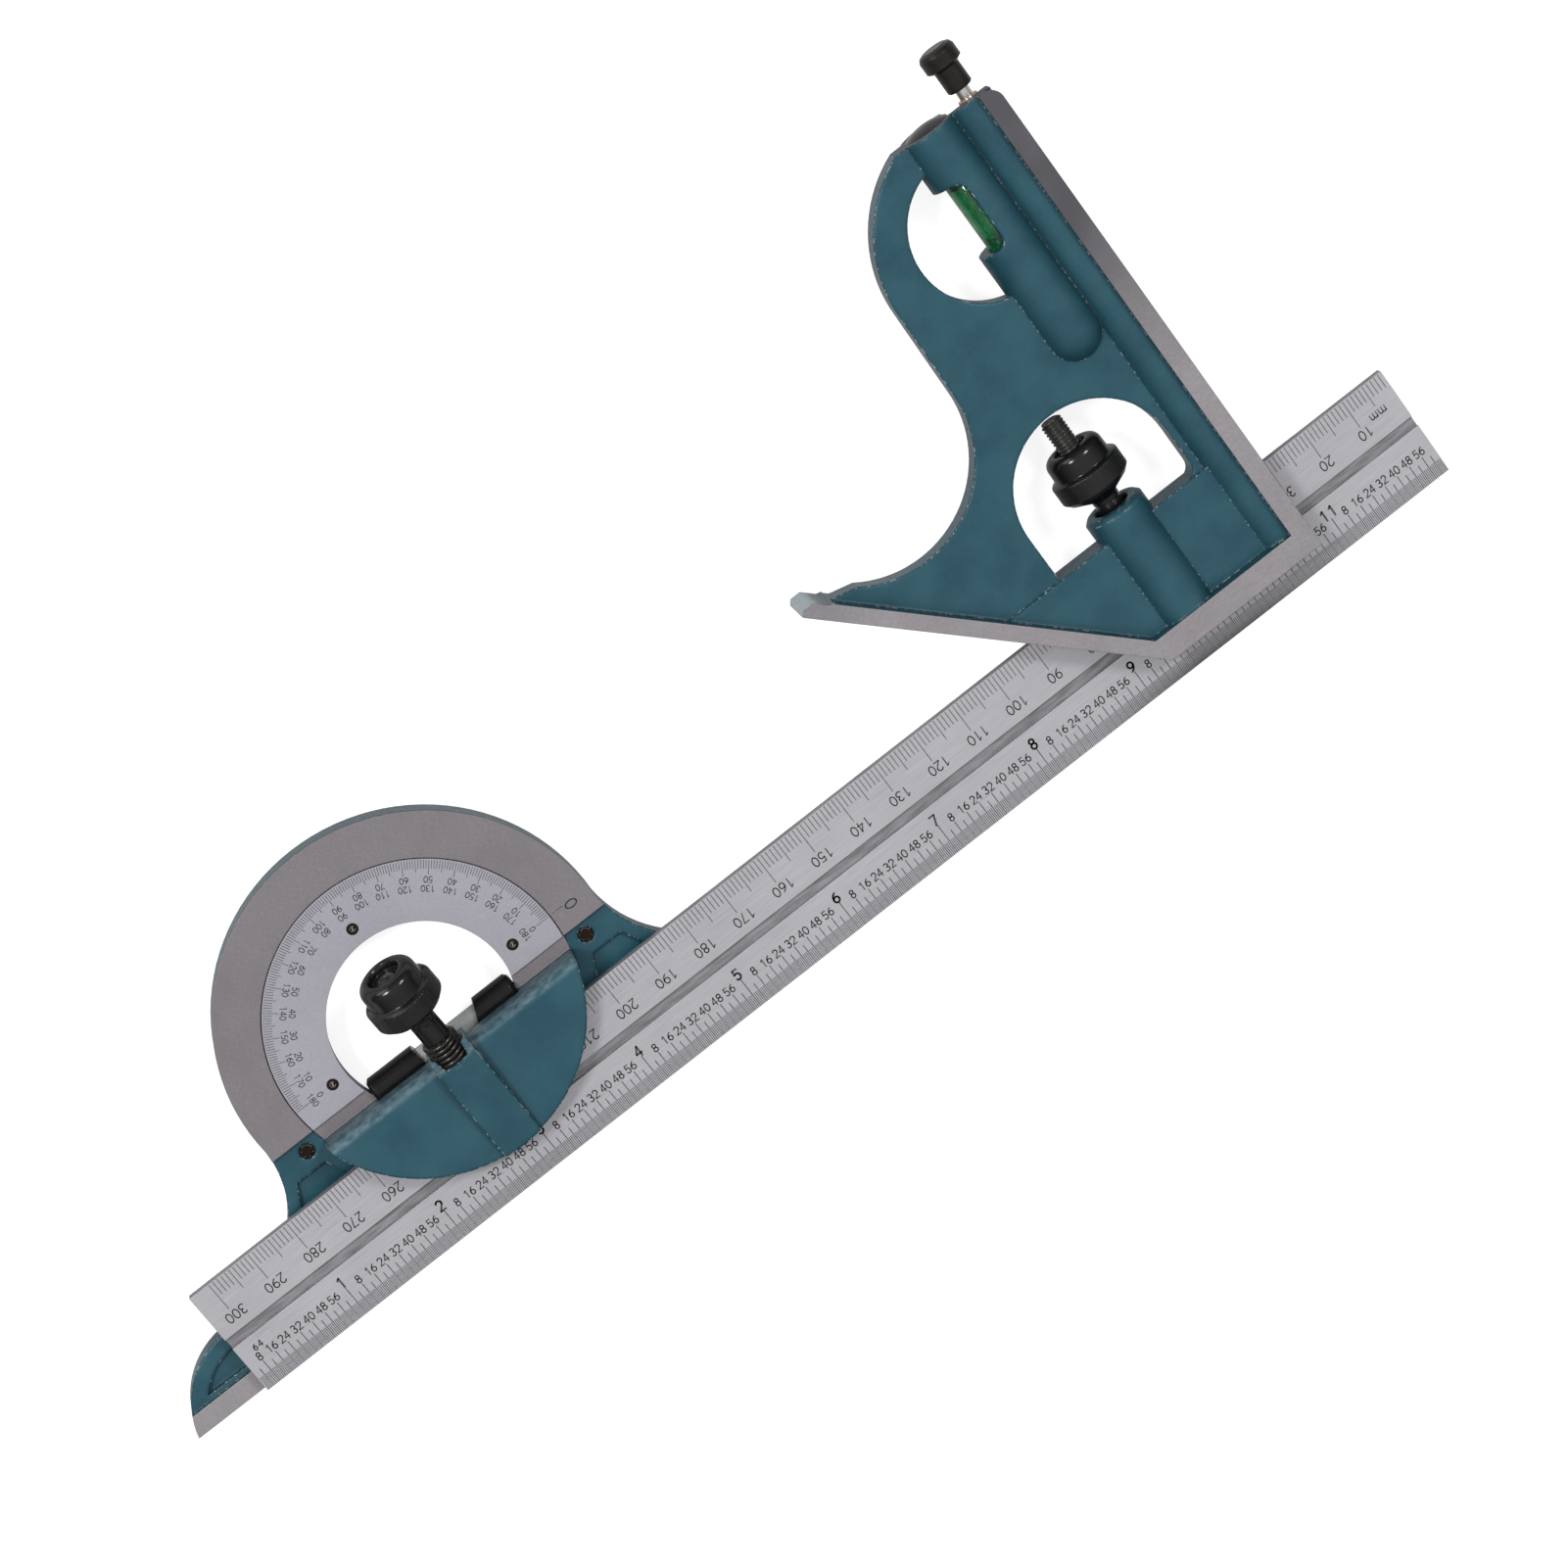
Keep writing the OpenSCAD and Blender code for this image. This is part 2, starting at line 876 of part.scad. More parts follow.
// Level of the protractor: a tube with a scooped window, a vial and two plugs
module level_tube() {
    end_chamfer = 0.7;
    window_sink = 1.8;
    window_back = 0.3;
    color("black")
        difference() {
            translate([-tube_half, tube_y, tube_height])
                rotate([0, 90, 0])
                    difference() {
                        union() {
                            cylinder(r1 = tube_radius - end_chamfer, r2 = tube_radius, h = end_chamfer);
                            translate([0, 0, end_chamfer])
                                cylinder(r = tube_radius, h = 2 * (tube_half - end_chamfer));
                            translate([0, 0, 2 * tube_half - end_chamfer])
                                cylinder(r1 = tube_radius, r2 = tube_radius - end_chamfer, h = end_chamfer);
                        }
                        translate([0, 0, -1])
                            cylinder(r = tube_bore, h = 2 * tube_half + 2);
                    }
            translate([0, 0, tube_height - window_sink])
                linear_extrude(tube_radius + window_sink + 1)
                    tube_window();
            translate([0, 0, -1])
                linear_extrude(tube_height + tube_radius)
                    intersection() {
                        tube_window();
                        translate([-tube_half, tube_y - window_back])
                            square([2 * tube_half, 2 * tube_radius]);
                    }
        }
}

// Plan of the window: its sides slant, and it reaches farther to the right
module tube_window() {
    slant = (tube_radius + 1) / tube_radius;
    polygon([
        [-5.85 - 0.45 * slant, tube_y + tube_radius + 1],
        [-5.85 + 0.45 * slant, tube_y - tube_radius - 1],
        [8.05 - 1.45 * slant, tube_y - tube_radius - 1],
        [8.05 + 1.45 * slant, tube_y + tube_radius + 1],
    ]);
}

module level_vial() {
    vial_half = tube_half - plug_length - 0.4;
    color("green")
        translate([-vial_half, tube_y, tube_height])
            rotate([0, 90, 0])
                cylinder(r = tube_bore, h = 2 * vial_half);
}

module level_plugs() {
    color("black")
        both_sides()
            translate([tube_half - plug_length - 0.2, tube_y, tube_height])
                rotate([0, 90, 0])
                    cylinder(r = tube_bore, h = plug_length);
}

// Lock screw of an ear: its head behind the casting holds the turret's rim
module lock_screw() {
    color("black")
        translate([lock_x, lock_y, 0]) {
            translate([0, 0, 0.3])
                cylinder(r = lock_head_radius, h = lock_head_top - 0.3);
            translate([0, 0, lock_head_top - 0.1])
                cylinder(r = lock_shank_radius, h = cast_height - lock_head_top - 0.1);
        }
}

module lock_screw_left() {
    mirror([1, 0, 0])
        lock_screw();
}

module lock_screw_right() {
    lock_screw();
}

place() blade();
place() square_head();
place() square_vial();
place() vial_plug();
place() scriber_needle();
place() scriber_knob();
place() scriber_bush();
place() square_clamp_bolt();
place() square_clamp_nut();
place() square_clamp_spring();
place() protractor_body();
place() protractor_turret();
place() dial_plate();
place() dial_screws();
place() level_tube();
place() level_vial();
place() level_plugs();
place() turret_clamp_bolt();
place() turret_clamp_nut();
place() turret_clamp_spring();
place() lock_screw_left();
place() lock_screw_right();
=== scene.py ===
import math

import bmesh
import bpy
from mathutils import Euler, Matrix, Vector


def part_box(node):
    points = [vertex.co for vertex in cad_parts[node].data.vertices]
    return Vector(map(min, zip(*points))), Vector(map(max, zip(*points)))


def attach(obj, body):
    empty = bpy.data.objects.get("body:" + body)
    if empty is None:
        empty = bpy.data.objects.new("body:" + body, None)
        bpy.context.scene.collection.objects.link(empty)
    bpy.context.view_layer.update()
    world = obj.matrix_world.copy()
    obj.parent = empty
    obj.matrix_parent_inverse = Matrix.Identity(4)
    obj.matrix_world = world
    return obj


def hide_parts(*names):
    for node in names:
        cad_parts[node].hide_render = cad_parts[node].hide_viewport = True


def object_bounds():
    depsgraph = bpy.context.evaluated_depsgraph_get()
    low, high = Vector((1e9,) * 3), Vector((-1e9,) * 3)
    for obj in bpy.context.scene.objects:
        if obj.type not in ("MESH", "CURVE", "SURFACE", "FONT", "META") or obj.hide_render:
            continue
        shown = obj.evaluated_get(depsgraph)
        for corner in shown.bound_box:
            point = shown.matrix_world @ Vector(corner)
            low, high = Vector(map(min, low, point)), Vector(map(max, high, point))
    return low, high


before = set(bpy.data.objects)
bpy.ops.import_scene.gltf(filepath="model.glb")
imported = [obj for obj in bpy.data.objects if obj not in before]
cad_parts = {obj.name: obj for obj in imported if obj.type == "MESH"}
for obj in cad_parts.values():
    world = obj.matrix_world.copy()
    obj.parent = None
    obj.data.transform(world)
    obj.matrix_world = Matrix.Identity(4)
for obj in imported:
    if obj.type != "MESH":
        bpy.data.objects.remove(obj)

cad_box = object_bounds()

MM = 0.001
INCH = 25.4

# Driving dimensions in millimetres, counted from the axis of the protractor turret
blade_left = 72.45
blade_drop = 16.33
blade_length = 304.8
blade_width = 25.4
blade_thickness = 2.4
face_place = 201.45
head_height = 95.9
head_thickness = 14.0
foot_length = 38.2
foot_drop = 19.4
clamp_x = -29.1
spring_seat = 3.5
body_thickness = 5.6
dial_thickness = 0.8
cast_step = 1.0
turret_radius = 32.4
turret_rim_top = 3.4
mouth_y = -9.2
clamp_lean = 13.0
square_nut_place = 21.4
turret_nut_place = 26.4
dial_screw_circle = 22.9
lock_x = 35.6
lock_y = -8.0

# Places worked out from them
mid_height = head_thickness / 2
blade_front = mid_height + blade_thickness / 2
upper_edge = -blade_drop
lower_edge = -blade_drop - blade_width
zero_end = blade_length - blade_left
groove_place = -blade_drop - blade_width / 2
seat_height = body_thickness - dial_thickness
ear_height = body_thickness - cast_step
square_seat = blade_width / 2 + spring_seat
turret_seat = (mouth_y - groove_place) / math.cos(math.radians(clamp_lean))

# The rule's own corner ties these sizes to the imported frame
blade_low, blade_high = (Vector(corner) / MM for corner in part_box("blade"))
axis_x = blade_low.x + blade_left
axis_y = blade_high.y + blade_drop


def at(x, y, z):
    """A point counted from the turret axis, as Blender's metres."""
    return Vector((x + axis_x, y + axis_y, z)) * MM


def in_head(x, y, z):
    """A point counted from the square head's corner, with z from its middle plane."""
    return at(face_place + x, y - blade_drop, z + mid_height)


def clamp_frame(place, lean):
    """Millimetres along a clamp bolt, counted from the groove of the rule towards the nut."""
    return Matrix.Translation(place) @ Matrix.Rotation(math.radians(lean - 90), 4, "X") @ Matrix.Scale(MM, 4)


square_clamp = clamp_frame(in_head(clamp_x, -blade_width / 2, 0), 0)
turret_clamp = clamp_frame(at(0, groove_place, mid_height), clamp_lean)

# Camera
camera_place = at(76.64, 223.03, 803.25)
camera_turn = [math.radians(angle) for angle in (-12.5217, -10.348, -36.6876)]
camera_lens = 94.45
camera_sensor = 36.0
camera_data = bpy.data.cameras.new("camera")
camera_data.lens = camera_lens
camera_data.sensor_width = camera_sensor
camera = bpy.data.objects.new("camera", camera_data)
camera.location = camera_place
camera.rotation_euler = Euler(camera_turn, "XYZ")
bpy.context.scene.collection.objects.link(camera)
bpy.context.scene.camera = camera
bpy.context.scene.view_settings.view_transform = "Standard"


# Node helpers
class Tree:
    """A material or world under construction."""

    def __init__(self, owner):
        owner.use_nodes = True
        self.tree = owner.node_tree
        self.tree.nodes.clear()

    def add(self, kind, **values):
        node = self.tree.nodes.new(kind)
        for name, value in values.items():
            setattr(node, name, value)
        return node

    def link(self, source, target):
        self.tree.links.new(source, target)

    def plug(self, value, socket):
        if hasattr(value, "is_linked"):
            self.link(value, socket)
        else:
            socket.default_value = value

    def math(self, operation, a, b=0.0):
        node = self.add("ShaderNodeMath", operation=operation)
        self.plug(a, node.inputs[0])
        self.plug(b, node.inputs[1])
        return node.outputs[0]

    def ramp(self, value, low, high, to_low=0.0, to_high=1.0):
        node = self.add("ShaderNodeMapRange")
        self.plug(value, node.inputs["Value"])
        node.inputs["From Min"].default_value = low
        node.inputs["From Max"].default_value = high
        node.inputs["To Min"].default_value = to_low
        node.inputs["To Max"].default_value = to_high
        return node.outputs[0]

    def either(self, *masks):
        result = masks[0]
        for mask in masks[1:]:
            result = self.math("MAXIMUM", result, mask)
        return result

    def both(self, a, b):
        return self.math("MULTIPLY", a, b)

    def other(self, mask):
        return self.math("SUBTRACT", 1.0, mask)

    def mix(self, factor, a, b):
        node = self.add("ShaderNodeMix", data_type="RGBA")
        self.plug(factor, node.inputs["Factor"])
        for value, socket in ((a, node.inputs["A"]), (b, node.inputs["B"])):
            self.plug(value if hasattr(value, "is_linked") else (*value, 1.0), socket)
        return node.outputs["Result"]

    def scale(self, vector, factor):
        node = self.add("ShaderNodeVectorMath", operation="SCALE")
        self.plug(vector, node.inputs[0])
        self.plug(factor, node.inputs["Scale"])
        return node.outputs[0]

    def stretch(self, vector, factors):
        node = self.add("ShaderNodeVectorMath", operation="MULTIPLY")
        self.link(vector, node.inputs[0])
        node.inputs[1].default_value = factors
        return node.outputs[0]

    def place(self):
        """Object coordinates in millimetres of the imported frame, which ride with the body."""
        return self.scale(self.add("ShaderNodeTexCoord").outputs["Object"], 1 / MM)

    def normal(self):
        return self.add("ShaderNodeNewGeometry").outputs["Normal"]

    def split(self, vector):
        node = self.add("ShaderNodeSeparateXYZ")
        self.link(vector, node.inputs[0])
        return node.outputs

    def noise(self, vector, scale, detail=2.0, roughness=0.5):
        node = self.add("ShaderNodeTexNoise")
        self.link(vector, node.inputs["Vector"])
        node.inputs["Scale"].default_value = scale
        node.inputs["Detail"].default_value = detail
        node.inputs["Roughness"].default_value = roughness
        return node.outputs["Fac"]

    def bump(self, height, distance, normal):
        node = self.add("ShaderNodeBump")
        self.link(height, node.inputs["Height"])
        node.inputs["Distance"].default_value = distance * MM
        self.link(normal, node.inputs["Normal"])
        return node.outputs[0]

    def blend(self, factor, a, b):
        """Mixes two normals."""
        node = self.add("ShaderNodeMix", data_type="VECTOR")
        self.plug(factor, node.inputs["Factor"])
        self.link(a, node.inputs[4])
        self.link(b, node.inputs[5])
        return node.outputs[1]

    def bevel(self, radius):
        node = self.add("ShaderNodeBevel", samples=6)
        node.inputs["Radius"].default_value = radius * MM
        return node.outputs[0]

    def corner(self, distance):
        """Low in inner corners and under other parts, 1 on open faces."""
        node = self.add("ShaderNodeAmbientOcclusion", samples=6)
        node.inputs["Distance"].default_value = distance * MM
        return node.outputs["AO"]

    def edge(self, radius):
        """1 near a sharp edge, 0 elsewhere."""
        dot = self.add("ShaderNodeVectorMath", operation="DOT_PRODUCT")
        self.link(self.bevel(radius), dot.inputs[0])
        self.link(self.normal(), dot.inputs[1])
        return self.ramp(dot.outputs["Value"], 0.985, 0.90)

    def above(self, value, limit, soft=0.02):
        return self.ramp(value, limit - soft, limit + soft)

    def below(self, value, limit, soft=0.02):
        return self.ramp(value, limit + soft, limit - soft)

    def surface(self, color, roughness, metallic=0.0, normal=None, specular=0.5):
        node = self.add("ShaderNodeBsdfPrincipled")
        self.plug(color if hasattr(color, "is_linked") else (*color, 1.0), node.inputs["Base Color"])
        self.plug(roughness, node.inputs["Roughness"])
        self.plug(metallic, node.inputs["Metallic"])
        node.inputs["Specular IOR Level"].default_value = specular
        if normal is not None:
            self.link(normal, node.inputs["Normal"])
        output = self.add("ShaderNodeOutputMaterial")
        self.link(node.outputs[0], output.inputs["Surface"])
        return node


# Colours
enamel_teal = (0.025, 0.087, 0.115)
enamel_dark = (0.014, 0.060, 0.084)
# The next two colours are painted shade: on side walls, and in inner corners
enamel_side_shade = (0.008, 0.034, 0.046)
enamel_corner_shade = (0.006, 0.026, 0.036)
# Painted highlight on the round edge of the turret's wall
enamel_painted_highlight = (0.15, 0.205, 0.235)
enamel_bleached = (0.30, 0.36, 0.395)
# Bright specks on enamel edges: chipped paint, and also painted glints of light
chipped_edge_and_glint = (0.60, 0.61, 0.62)
ground_steel = (0.216, 0.198, 0.210)
ground_cloud = (0.150, 0.136, 0.140)
ground_speck = (0.110, 0.090, 0.080)
# Darker ground steel towards the square head's far end
ground_darker = (0.082, 0.080, 0.090)
fresh_factors = (1.38, 1.42, 1.41)
rule_silver = (0.410, 0.402, 0.428)
dial_silver = (0.339, 0.334, 0.373)
bright_silver = (0.62, 0.60, 0.58)
screw_silver = (0.42, 0.40, 0.38)
bush_brass = (0.62, 0.36, 0.20)
wire_dark = (0.055, 0.052, 0.048)
oxide_black = (0.0045, 0.0043, 0.0043)
oxide_bolt = (0.022, 0.021, 0.020)
oxide_knob = (0.0095, 0.0088, 0.0078)
oxide_brown = (0.010, 0.006, 0.004)
oxide_worn = (0.12, 0.115, 0.11)
spirit_dark = (0.002, 0.15, 0.05)
spirit_light = (0.004, 0.26, 0.085)
glass_green = (0.72, 0.92, 0.80)
glass_clear = (0.86, 0.90, 0.88)
ink_dark = (0.035, 0.034, 0.036)
ink_pale = (0.085, 0.083, 0.088)


# Enamel and ground steel of the castings
enamel_roughness = 0.30
ground_roughness = 0.50
ground_metal = 0.35


def enamel_tint(t, place, mottle, peel, open_face):
    """Mottled teal, with painted shade on side walls and in inner corners."""
    blotch = t.noise(place, 2.6, 4.0, 0.7)
    facing = t.math("ABSOLUTE", t.split(t.normal())[2])
    tint = t.mix(t.ramp(mottle, 0.35, 0.65), enamel_dark, enamel_teal)
    tint = t.mix(t.ramp(peel, 0.3, 0.75, 0.0, 0.35), tint, enamel_teal)
    tint = t.mix(t.ramp(blotch, 0.35, 0.75, 0.0, 0.45), tint, enamel_dark)
    # Painted shade: faces that stand upright are darker than flat ones
    tint = t.mix(t.ramp(facing, 0.55, 0.97, 0.55, 0.0), tint, enamel_side_shade)
    # Painted shade: darker in inner corners and under other parts, where ambient occlusion is low
    return t.mix(t.ramp(open_face, 0.35, 0.85, 0.55, 0.0), tint, enamel_corner_shade)


def ground_tint(t, place, mottle, grain):
    """Ground steel with lines along the rule, clouds and fine specks."""
    specks = t.noise(place, 4.0, 2.0)
    low = [c * 0.78 for c in ground_steel]
    high = [c * 1.16 for c in ground_steel]
    tint = t.mix(t.ramp(grain, 0.3, 0.7), low, high)
    tint = t.mix(t.ramp(mottle, 0.42, 0.7, 0.0, 0.30), tint, ground_cloud)
    return t.mix(t.ramp(specks, 0.58, 0.8, 0.0, 0.45), tint, ground_speck)


def enamel(name, ground, fresh=None, darken=None, pale=None, pale_tint=None):
    """Enamel with ground steel where a mask says so; further masks brighten or darken the steel, or lighten
    the paint for a bleached tip or a painted highlight.
    """
    material = bpy.data.materials.new(name)
    t = Tree(material)
    place = t.place()
    x, y, z = t.split(place)
    bare = ground(t, x, y, z)
    painted = t.other(bare)
    mottle = t.noise(place, 0.11, 3.0)
    peel = t.noise(place, 1.3, 3.0, 0.6)
    grain = t.noise(t.stretch(place, (1.0, 6.0, 6.0)), 1.1, 4.0, 0.7)
    # Ambient occlusion: it sets the painted corner shade and keeps chips out of corners
    open_face = t.corner(2.6)
    paint = enamel_tint(t, place, mottle, peel, open_face)
    if pale is not None:
        # Lightens the paint: the bleached arm tip, or the painted highlight on the turret's wall
        paint = t.mix(pale(t, x, y, z), paint, pale_tint)
    metal = ground_tint(t, place, mottle, grain)
    if fresh is not None:
        metal = t.mix(fresh(t, x, y, z), metal, t.stretch(metal, fresh_factors))
    # Darkens the ground steel where the mask says so
    if darken is not None:
        metal = t.mix(darken(t, x, y, z), metal, ground_darker)
    # Bright specks along edges: partly chipped paint, partly painted glints of light on the edges
    chips_and_glints = t.both(t.edge(0.35), t.ramp(t.noise(place, 1.3, 2.0), 0.55, 0.61))
    chips_and_glints = t.both(chips_and_glints, t.both(t.ramp(open_face, 0.45, 0.8, 0.5, 1.0), painted))
    color = t.mix(t.both(chips_and_glints, 0.85), t.mix(bare, paint, metal), chipped_edge_and_glint)
    roughness = t.ramp(bare, 0.0, 1.0, enamel_roughness, ground_roughness)
    roughness = t.math("ADD", roughness, t.ramp(peel, 0.3, 0.7, -0.05, 0.06))
    relief = t.math("ADD", t.both(peel, painted), t.both(grain, t.both(bare, 0.25)))
    normal = t.bump(relief, 0.05, t.blend(bare, t.bevel(1.1), t.bevel(0.3)))
    t.surface(color, roughness, t.both(bare, ground_metal), normal, 0.25)
    return material


# Masks of the castings; skin is how far a mask reaches under the face that it marks
skin = 0.06
darker_start = 72.0
darker_full = 28.0
bleached_reach = 88.6
base_top = -25.0


def square_ground(t, x, y, z):
    """Both broad faces of the square head, its upright side, foot, 45 degree side and far end."""
    face = axis_x + face_place
    top = axis_y - blade_drop
    slope = face + top - foot_length - foot_drop
    broad = t.either(t.above(z, head_thickness - skin), t.below(z, skin))
    upright = t.above(x, face - skin)
    foot = t.below(y, top - foot_drop + skin)
    arm = t.below(t.math("ADD", x, y), slope + skin)
    end = t.above(y, top + head_height - skin)
    return t.either(broad, upright, foot, arm, end)


def square_fresh(t, x, y, z):
    """All ground faces of the square head are bright."""
    return 1.0


def square_tarnish(t, x, y, z):
    """The upright band darkens towards the head's far end."""
    end = axis_y - blade_drop + head_height
    cloud = t.ramp(t.noise(t.place(), 0.06, 3.0), 0.3, 0.7, 0.85, 1.1)
    return t.both(t.ramp(y, end - darker_start, end - darker_full), cloud)


def tip_pale(t, x, y, z):
    """The tip of the 45 degree arm has lost its colour."""
    return t.both(t.below(x, axis_x + face_place - bleached_reach, 0.5), 0.9)


def protractor_ground(t, x, y, z):
    """The ring's and the base's broad faces and the base's long edge."""
    broad = t.either(t.above(z, body_thickness - skin), t.below(z, skin))
    return t.either(broad, t.below(y, axis_y + lower_edge + skin))


def base_fresh(t, x, y, z):
    """The long base is brighter than the ring."""
    return t.below(y, axis_y + base_top, 1.0)


def turret_ground(t, x, y, z):
    """The seat of the dial, and the rim that runs behind the ring."""
    seat = t.both(t.below(z, seat_height + skin), t.above(z, seat_height - skin))
    return t.either(seat, t.below(z, turret_rim_top + skin))


def wall_pale(t, x, y, z):
    """Painted highlight: a lighter, patchy stripe along the round upper edge of the turret's wall, where it
    catches the light.
    """
    spots = t.noise(t.stretch(t.place(), (0.5, 1.0, 1.0)), 0.9, 3.0, 0.6)
    stripe = t.both(t.above(y, axis_y + mouth_y - 0.7, 0.35), t.above(z, body_thickness + 0.2, 0.4))
    return t.both(stripe, t.ramp(spots, 0.35, 0.65, 0.08, 0.6))


# Plain steel
# Painted shade of the square head's foot on the rule's lower edge
foot_shade_middle = 176.0
foot_shade_core = 8.0
foot_shade_reach = 34.0
foot_shade_height = 3.6


def steel(name, color, roughness, along=(0.04, 2.2, 2.2), blotch=0.12, darkening=None, metallic=0.9):
    """Satin or bright steel with fine drawn lines."""
    material = bpy.data.materials.new(name)
    t = Tree(material)
    place = t.place()
    lines = t.noise(t.stretch(place, along), 3.0, 3.0, 0.6)
    cloud = t.ramp(t.noise(place, 0.05, 3.0), 0.3, 0.7, -0.04, 0.04)
    shade = t.math("ADD", t.ramp(lines, 0.3, 0.7, 1 - blotch, 1 + blotch), cloud)
    # Darkens the colour where a function says; on the rule, the groove and the painted shade under the foot
    if darkening is not None:
        shade = t.both(shade, darkening(t, place))
    sheen = t.ramp(lines, 0.3, 0.7, roughness - 0.05, roughness + 0.06)
    t.surface(t.scale(color, shade), sheen, metallic, t.bump(lines, 0.006, t.bevel(0.15)), 0.3)
    return material


def rule_dirt(t, place):
    """Darker in the milled groove of the rule, and painted shade of the square head's foot on the rule's
    lower edge.
    """
    x, y, z = t.split(place)
    # Painted shade of the square head's foot along the rule's lower edge
    from_foot_shade = t.math("ABSOLUTE", t.math("SUBTRACT", x, axis_x + foot_shade_middle))
    edge = t.ramp(y, axis_y + lower_edge, axis_y + lower_edge + foot_shade_height, 1.0, 0.0)
    foot_shade = t.both(t.both(edge, t.ramp(from_foot_shade, foot_shade_core, foot_shade_reach, 1.0, 0.0)), 0.8)
    # Darker, unevenly, in the milled groove
    groove = t.below(z, blade_front - 0.3, 0.2)
    darkening = t.noise(t.stretch(place, (0.15, 1.0, 1.0)), 1.2, 3.0)
    return t.other(t.either(t.both(groove, t.ramp(darkening, 0.3, 0.7, 0.30, 0.62)), foot_shade))


# Other materials
def oxide(name, color, roughness=0.15, specular=0.25):
    """Black oxide with a slight sheen, worn lighter on its edges."""
    material = bpy.data.materials.new(name)
    t = Tree(material)
    place = t.place()
    cloud = t.noise(place, 0.6, 4.0, 0.6)
    fine = t.noise(place, 3.5, 3.0, 0.6)
    worn = t.both(t.edge(0.25), t.ramp(fine, 0.5, 0.62))
    tint = t.mix(t.ramp(cloud, 0.35, 0.7), color, [c * 1.7 for c in color])
    tint = t.mix(t.both(worn, 0.45), tint, oxide_worn)
    sheen = t.ramp(fine, 0.3, 0.7, roughness - 0.05, roughness + 0.07)
    t.surface(tint, sheen, 0.0, t.bump(fine, 0.01, t.bevel(0.25)), specular)
    return material


def fluid(name):
    """Green spirit of the level."""
    material = bpy.data.materials.new(name)
    t = Tree(material)
    cloud = t.noise(t.place(), 0.35, 2.0)
    t.surface(t.mix(t.ramp(cloud, 0.3, 0.7), spirit_dark, spirit_light), 0.08)
    return material


def glass(name, color, clear=1.0):
    """Clear glass with a faint tint."""
    material = bpy.data.materials.new(name)
    t = Tree(material)
    haze = t.ramp(t.noise(t.place(), 0.5, 2.0), 0.3, 0.7, 0.02, 0.06)
    node = t.surface(color, haze)
    node.inputs["Transmission Weight"].default_value = clear
    node.inputs["IOR"].default_value = 1.45
    return material


def ink(name):
    """Dark filling of graduations and figures, uneven in tone."""
    material = bpy.data.materials.new(name)
    t = Tree(material)
    cloud = t.noise(t.place(), 1.1, 3.0)
    t.surface(t.mix(t.ramp(cloud, 0.35, 0.65), ink_dark, ink_pale), 0.55, specular=0.3)
    return material


square_enamel = enamel(
    "square_enamel", square_ground, square_fresh, square_tarnish, tip_pale, enamel_bleached)
protractor_enamel = enamel("protractor_enamel", protractor_ground, base_fresh)
# The turret's wall carries a painted highlight along its round upper edge
turret_enamel = enamel("turret_enamel", turret_ground, pale=wall_pale, pale_tint=enamel_painted_highlight)
rule_steel = steel("rule_satin", rule_silver, 0.5, darkening=rule_dirt, metallic=0.35)
dial_steel = steel("dial_satin", dial_silver, 0.5, (0.8, 0.8, 0.8), 0.06, metallic=0.35)
bright_steel = steel("bright_steel", bright_silver, 0.22, (2.2, 0.05, 2.2), 0.12)
brass = steel("turned_brass", bush_brass, 0.3, (2.0, 2.0, 2.0), 0.15)
spring_wire = steel("spring_wire", wire_dark, 0.25, (1.5, 1.5, 1.5), 0.5)
screw_bright = steel("screw_bright", screw_silver, 0.3, (2.0, 2.0, 2.0), 0.3)
black = oxide("black_oxide", oxide_black)
nut_black = oxide("nut_oxide", oxide_black, 0.14, 0.4)
bolt_black = oxide("bolt_oxide", oxide_bolt, 0.2, 0.35)
knob_black = oxide("knob_oxide", oxide_knob, 0.3, 0.18)
screw_brown = oxide("screw_oxide", oxide_brown, 0.35, 0.08)
green = fluid("green_spirit")
green_glass = glass("green_glass", glass_green)
clear_glass = glass("clear_glass", glass_clear, 0.6)
mark_ink = ink("mark_ink")


def smooth(data, angle):
    """Smooth shading with edges sharp above an angle."""
    data.shade_smooth()
    data.set_sharp_from_angle(angle=math.radians(angle))


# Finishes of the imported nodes
node_finishes = {
    "square_head": square_enamel,
    "protractor_body": protractor_enamel,
    "protractor_turret": turret_enamel,
    "blade": rule_steel,
    "dial_plate": dial_steel,
    "scriber_needle": bright_steel,
    "scriber_bush": brass,
    "scriber_knob": knob_black,
    "vial_plug": black,
    "level_tube": black,
    "level_plugs": black,
    "dial_screws": screw_brown,
    "lock_screw_left": screw_brown,
    "lock_screw_right": screw_brown,
    "square_vial": green_glass,
    "level_vial": clear_glass,
    "square_clamp_bolt": bolt_black,
    "turret_clamp_bolt": bolt_black,
}
for node, finish in node_finishes.items():
    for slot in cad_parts[node].material_slots:
        slot.material = finish
    smooth(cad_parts[node].data, 32)


# Mesh helpers
def polar(radius, angle, height):
    """A point round the z axis."""
    return Vector((radius * math.cos(angle), radius * math.sin(angle), height))


def add_piece(name, data, body):
    """An object of the scene that rides with a body."""
    made = bpy.data.objects.new(name, data)
    bpy.context.scene.collection.objects.link(made)
    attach(made, body)
    return made


def piece(name, points, faces, material, body, sharp_angle):
    """A piece from points and faces, with edges sharp above an angle, or flat strokes where it is 0."""
    data = bpy.data.meshes.new(name)
    data.from_pydata(points, [], faces)
    data.validate()
    data.materials.append(material)
    if sharp_angle:
        build = bmesh.new()
        build.from_mesh(data)
        bmesh.ops.recalc_face_normals(build, faces=build.faces)
        build.to_mesh(data)
        build.free()
        smooth(data, sharp_angle)
    return add_piece(name, data, body)


